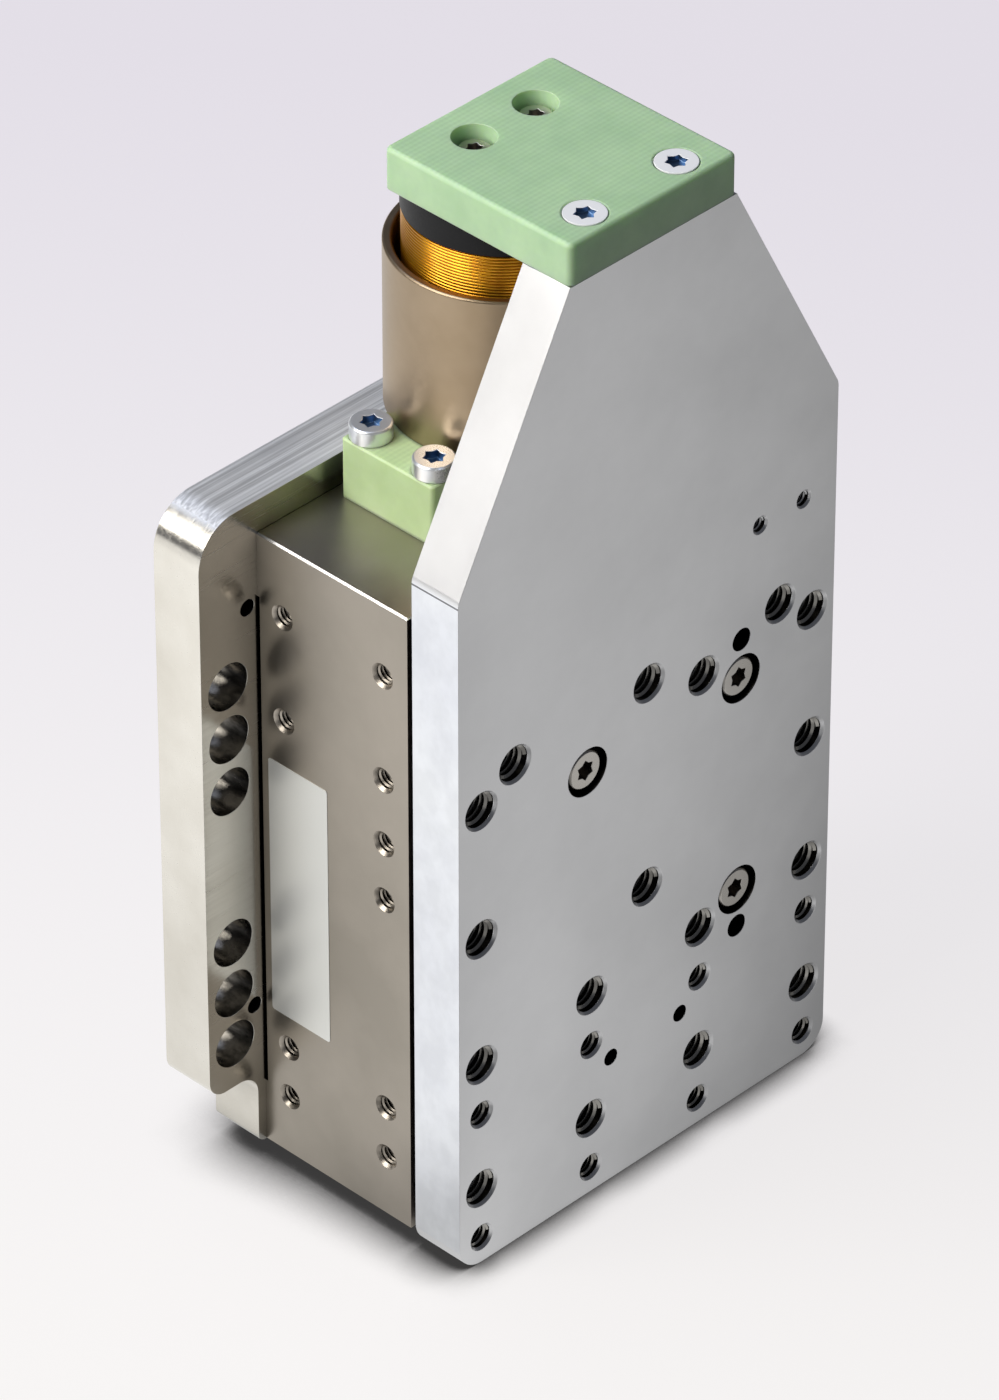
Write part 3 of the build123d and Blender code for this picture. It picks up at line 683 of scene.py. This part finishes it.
# %% Blades cut into strips
def bending_blade(node):
    low, high = (Vector(corner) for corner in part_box(node))
    size, middle = high - low, (low + high) / 2
    bpy.ops.object.select_all(action="DESELECT")
    bpy.ops.mesh.primitive_cube_add(size=1, location=(0, 0, 0))
    piece = bpy.context.object
    piece.name = node + "_leaf"
    piece.data.transform(Matrix.Diagonal((*size, 1)))
    bpy.context.tool_settings.mesh_select_mode = (False, True, False)
    bpy.ops.object.mode_set(mode="EDIT")
    bpy.ops.mesh.select_all(action="DESELECT")
    bpy.ops.object.mode_set(mode="OBJECT")
    for edge in piece.data.edges:
        ends = [piece.data.vertices[v].co for v in edge.vertices]
        edge.select = abs(ends[0].x - ends[1].x) > size.x / 2
    bpy.ops.object.mode_set(mode="EDIT")
    bpy.ops.mesh.subdivide(number_cuts=23)
    bpy.ops.object.mode_set(mode="OBJECT")
    piece.data.transform(Matrix.Translation(middle))
    bpy.ops.object.shade_smooth_by_angle(angle=math.radians(30))
    piece.data.materials.append(BLOCK)
    if "_outer_" in node:
        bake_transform(piece)
    else:
        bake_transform(piece)
    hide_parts(node)
    return piece


for node in sorted(frame["nodes"]):
    if node.startswith("blade_"):
        print(node, len(bending_blade(node).data.polygons), "faces")

# %% [markdown]
# The floor is a wide sheet of pale paper that fills the picture. Its colour drifts from warm white
# near the camera to a cool grey far away. The camera sees most of that colour directly and a part
# of it as lit paper, so the object's shadow stays, and it darkens close under the lower edges.
# Polished metal mirrors a painted reflection: for reflected rays the sheet glows, bright where the
# left faces look, calmer to the right, and dark behind the camera.

# %% Floor
GLOW = 0.87          # share of the sheet's colour that the camera sees directly
PART_LIT = 0.13      # share that it sees as lit paper
THROWN_BACK = 0.45   # share that falls on the stage as soft light
view_azimuth, view_elevation = math.radians(-45.52), math.radians(36.16)
away = Vector((-math.sin(view_azimuth), math.cos(view_azimuth), 0))
across = Vector((math.cos(view_azimuth), math.sin(view_azimuth), 0))

bpy.ops.object.select_all(action="DESELECT")
bpy.ops.mesh.primitive_plane_add(size=6, location=(0, 0, plate_sole - 0.05 * MM))
floor = bpy.context.object
floor.name = "floor"
mat, tree = new_material("pale_paper_sheet")
place = add(tree, "TexCoord").outputs["Object"]
distance = add(tree, "VectorMath", {"operation": "DOT_PRODUCT"}, {
    0: place, 1: away + across * 0.2}).outputs["Value"]
tone = add(tree, "ValToRGB", inputs={"Fac": remap(tree, distance, -100 * MM, 290 * MM)})
tone.color_ramp.elements[0].color = colour("#fcfaf8")
tone.color_ramp.elements[1].color = colour("#e6e1ea")
tone.color_ramp.elements.new(0.55).color = colour("#f0edf1")
tone.color_ramp.interpolation = "B_SPLINE"

# X + Y grows away from the camera, and X - Y towards the right of the picture
spot = add(tree, "SeparateXYZ", inputs={0: place})
farther = add(tree, "Math", {"operation": "ADD"}, {
    0: spot.outputs["X"], 1: spot.outputs["Y"]}).outputs[0]
rightward = add(tree, "Math", {"operation": "SUBTRACT"}, {
    0: spot.outputs["X"], 1: spot.outputs["Y"]}).outputs[0]

# Contact shadow. The base stands above the sheet, so its shadow reaches further than the plate's
reach = remap(tree, rightward, -45 * MM, 25 * MM, 14 * MM, 7.5 * MM)
contact = add(tree, "AmbientOcclusion", {"samples": 16}, {"Distance": reach})
seen = shaded(tree, tone.outputs["Color"], remap(tree, contact.outputs["AO"], 0.47, 0.95, 0.05))
glow = add(tree, "Emission", inputs={"Color": seen, "Strength": GLOW})
part_lit = add(tree, "BsdfDiffuse", inputs={"Color": shaded(tree, seen, grey(PART_LIT))})
to_camera = add(tree, "AddShader", inputs={0: glow.outputs[0], 1: part_lit.outputs[0]})

# What the sheet throws back as soft light
paper = add(tree, "BsdfDiffuse", inputs={"Color": shaded(tree, seen, grey(THROWN_BACK))})

# Painted reflection. The stage's front mirrors the sheet's glow to its right, the higher the face
# the further out: dimmer along the plate, brighter further out, and dark on the camera's side of
# the stage
front = times(tree, remap(tree, farther, -110 * MM, 0.0, 1.00, 0.25),
              remap(tree, rightward, 60 * MM, 340 * MM, 0.80, 1.16))
front = times(tree, front, remap(tree, farther, -125 * MM, -97 * MM, 0.36, 1.0))
# Its left side mirrors the sheet to its left: brighter in line with the carriage plate and a
# little way out, dimmer far out, where the sloped shoulder looks
left = times(tree, remap(tree, farther, -90 * MM, -82 * MM, 1.25, 1.0),
             remap(tree, rightward, -250 * MM, -120 * MM, 1.15, 1.0))
left = times(tree, left, remap(tree, rightward, -700 * MM, -320 * MM, 0.75, 1.0))
turn = remap(tree, rightward, -45 * MM, -15 * MM)
painted_reflection_strength = add(tree, "Mix", {"data_type": "FLOAT"}, {"Factor": turn, 2: left, 3: front}).outputs[0]
painted_reflection = add(tree, "Emission", inputs={"Color": grey(1), "Strength": painted_reflection_strength})

ray = add(tree, "LightPath")
first = add(tree, "MixShader", inputs={
    0: ray.outputs["Is Glossy Ray"], 1: paper.outputs[0], 2: painted_reflection.outputs[0]})
second = add(tree, "MixShader", inputs={
    0: ray.outputs["Is Camera Ray"], 1: first.outputs[0], 2: to_camera.outputs[0]})
add(tree, "OutputMaterial", inputs={"Surface": second.outputs[0]})
floor.data.materials.append(mat)
print("paper sheet at z =", round(floor.location.z, 5))

# %% [markdown]
# The photographer stood above the left front corner with a long lens. Distance and aim come from
# matching the plate's corners and the hole grid.

# %% Camera
DISTANCE = 1.5425   # metres from the aim to the lens
aim = Vector((-6.0, -27.0, 19.06)) * MM
back = Vector((math.sin(view_azimuth) * math.cos(view_elevation),
               -math.cos(view_azimuth) * math.cos(view_elevation), math.sin(view_elevation)))
lens = bpy.data.cameras.new("camera")
lens.sensor_fit = "VERTICAL"
lens.sensor_height = 36
lens.lens = 250
lens.clip_end = 50
camera = bpy.data.objects.new("camera", lens)
bpy.context.scene.collection.objects.link(camera)
camera.location = aim + back * DISTANCE
camera.rotation_euler = (-back).to_track_quat("-Z", "Y").to_euler()
bpy.context.scene.camera = camera
print("camera at", tuple(round(c, 3) for c in camera.location))

# %% [markdown]
# A large soft box behind the left shoulder makes the left faces and the sloped shoulder white. A
# cooler one overhead lights the green plate. The right side gets little light of its own, which
# keeps the corner of the green plate dark and the plate's front calm.

# %% Lamps and world
def soft_box(name, place, aim, size, watts, tint):
    light = bpy.data.lights.new(name, "AREA")
    light.shape = "SQUARE"
    light.size = size
    light.energy = watts
    light.color = colour(tint)[:3]
    lamp = bpy.data.objects.new(name, light)
    bpy.context.scene.collection.objects.link(lamp)
    lamp.location = place
    lamp.rotation_euler = (Vector(aim) - Vector(place)).to_track_quat("-Z", "Y").to_euler()


soft_box("left_box", (-1.20, 0.42, 1.07), (0, 0, 0.05), 1.2, 27.0, "#fffcf7")
soft_box("top_box", (-0.10, 0.45, 1.2), (0, 0, 0), 0.8, 3.8, "#dce6ff")

world = bpy.data.worlds.new("studio")
world.use_nodes = True
tree = world.node_tree
tree.nodes.clear()
air = add(tree, "Background", inputs={"Color": colour("#dfe4f2"), "Strength": 0.10})
add(tree, "OutputWorld", inputs={"Surface": air.outputs[0]})
bpy.context.scene.world = world
bpy.context.scene.view_settings.view_transform = "Standard"
print("lamps:", len(bpy.data.lights))
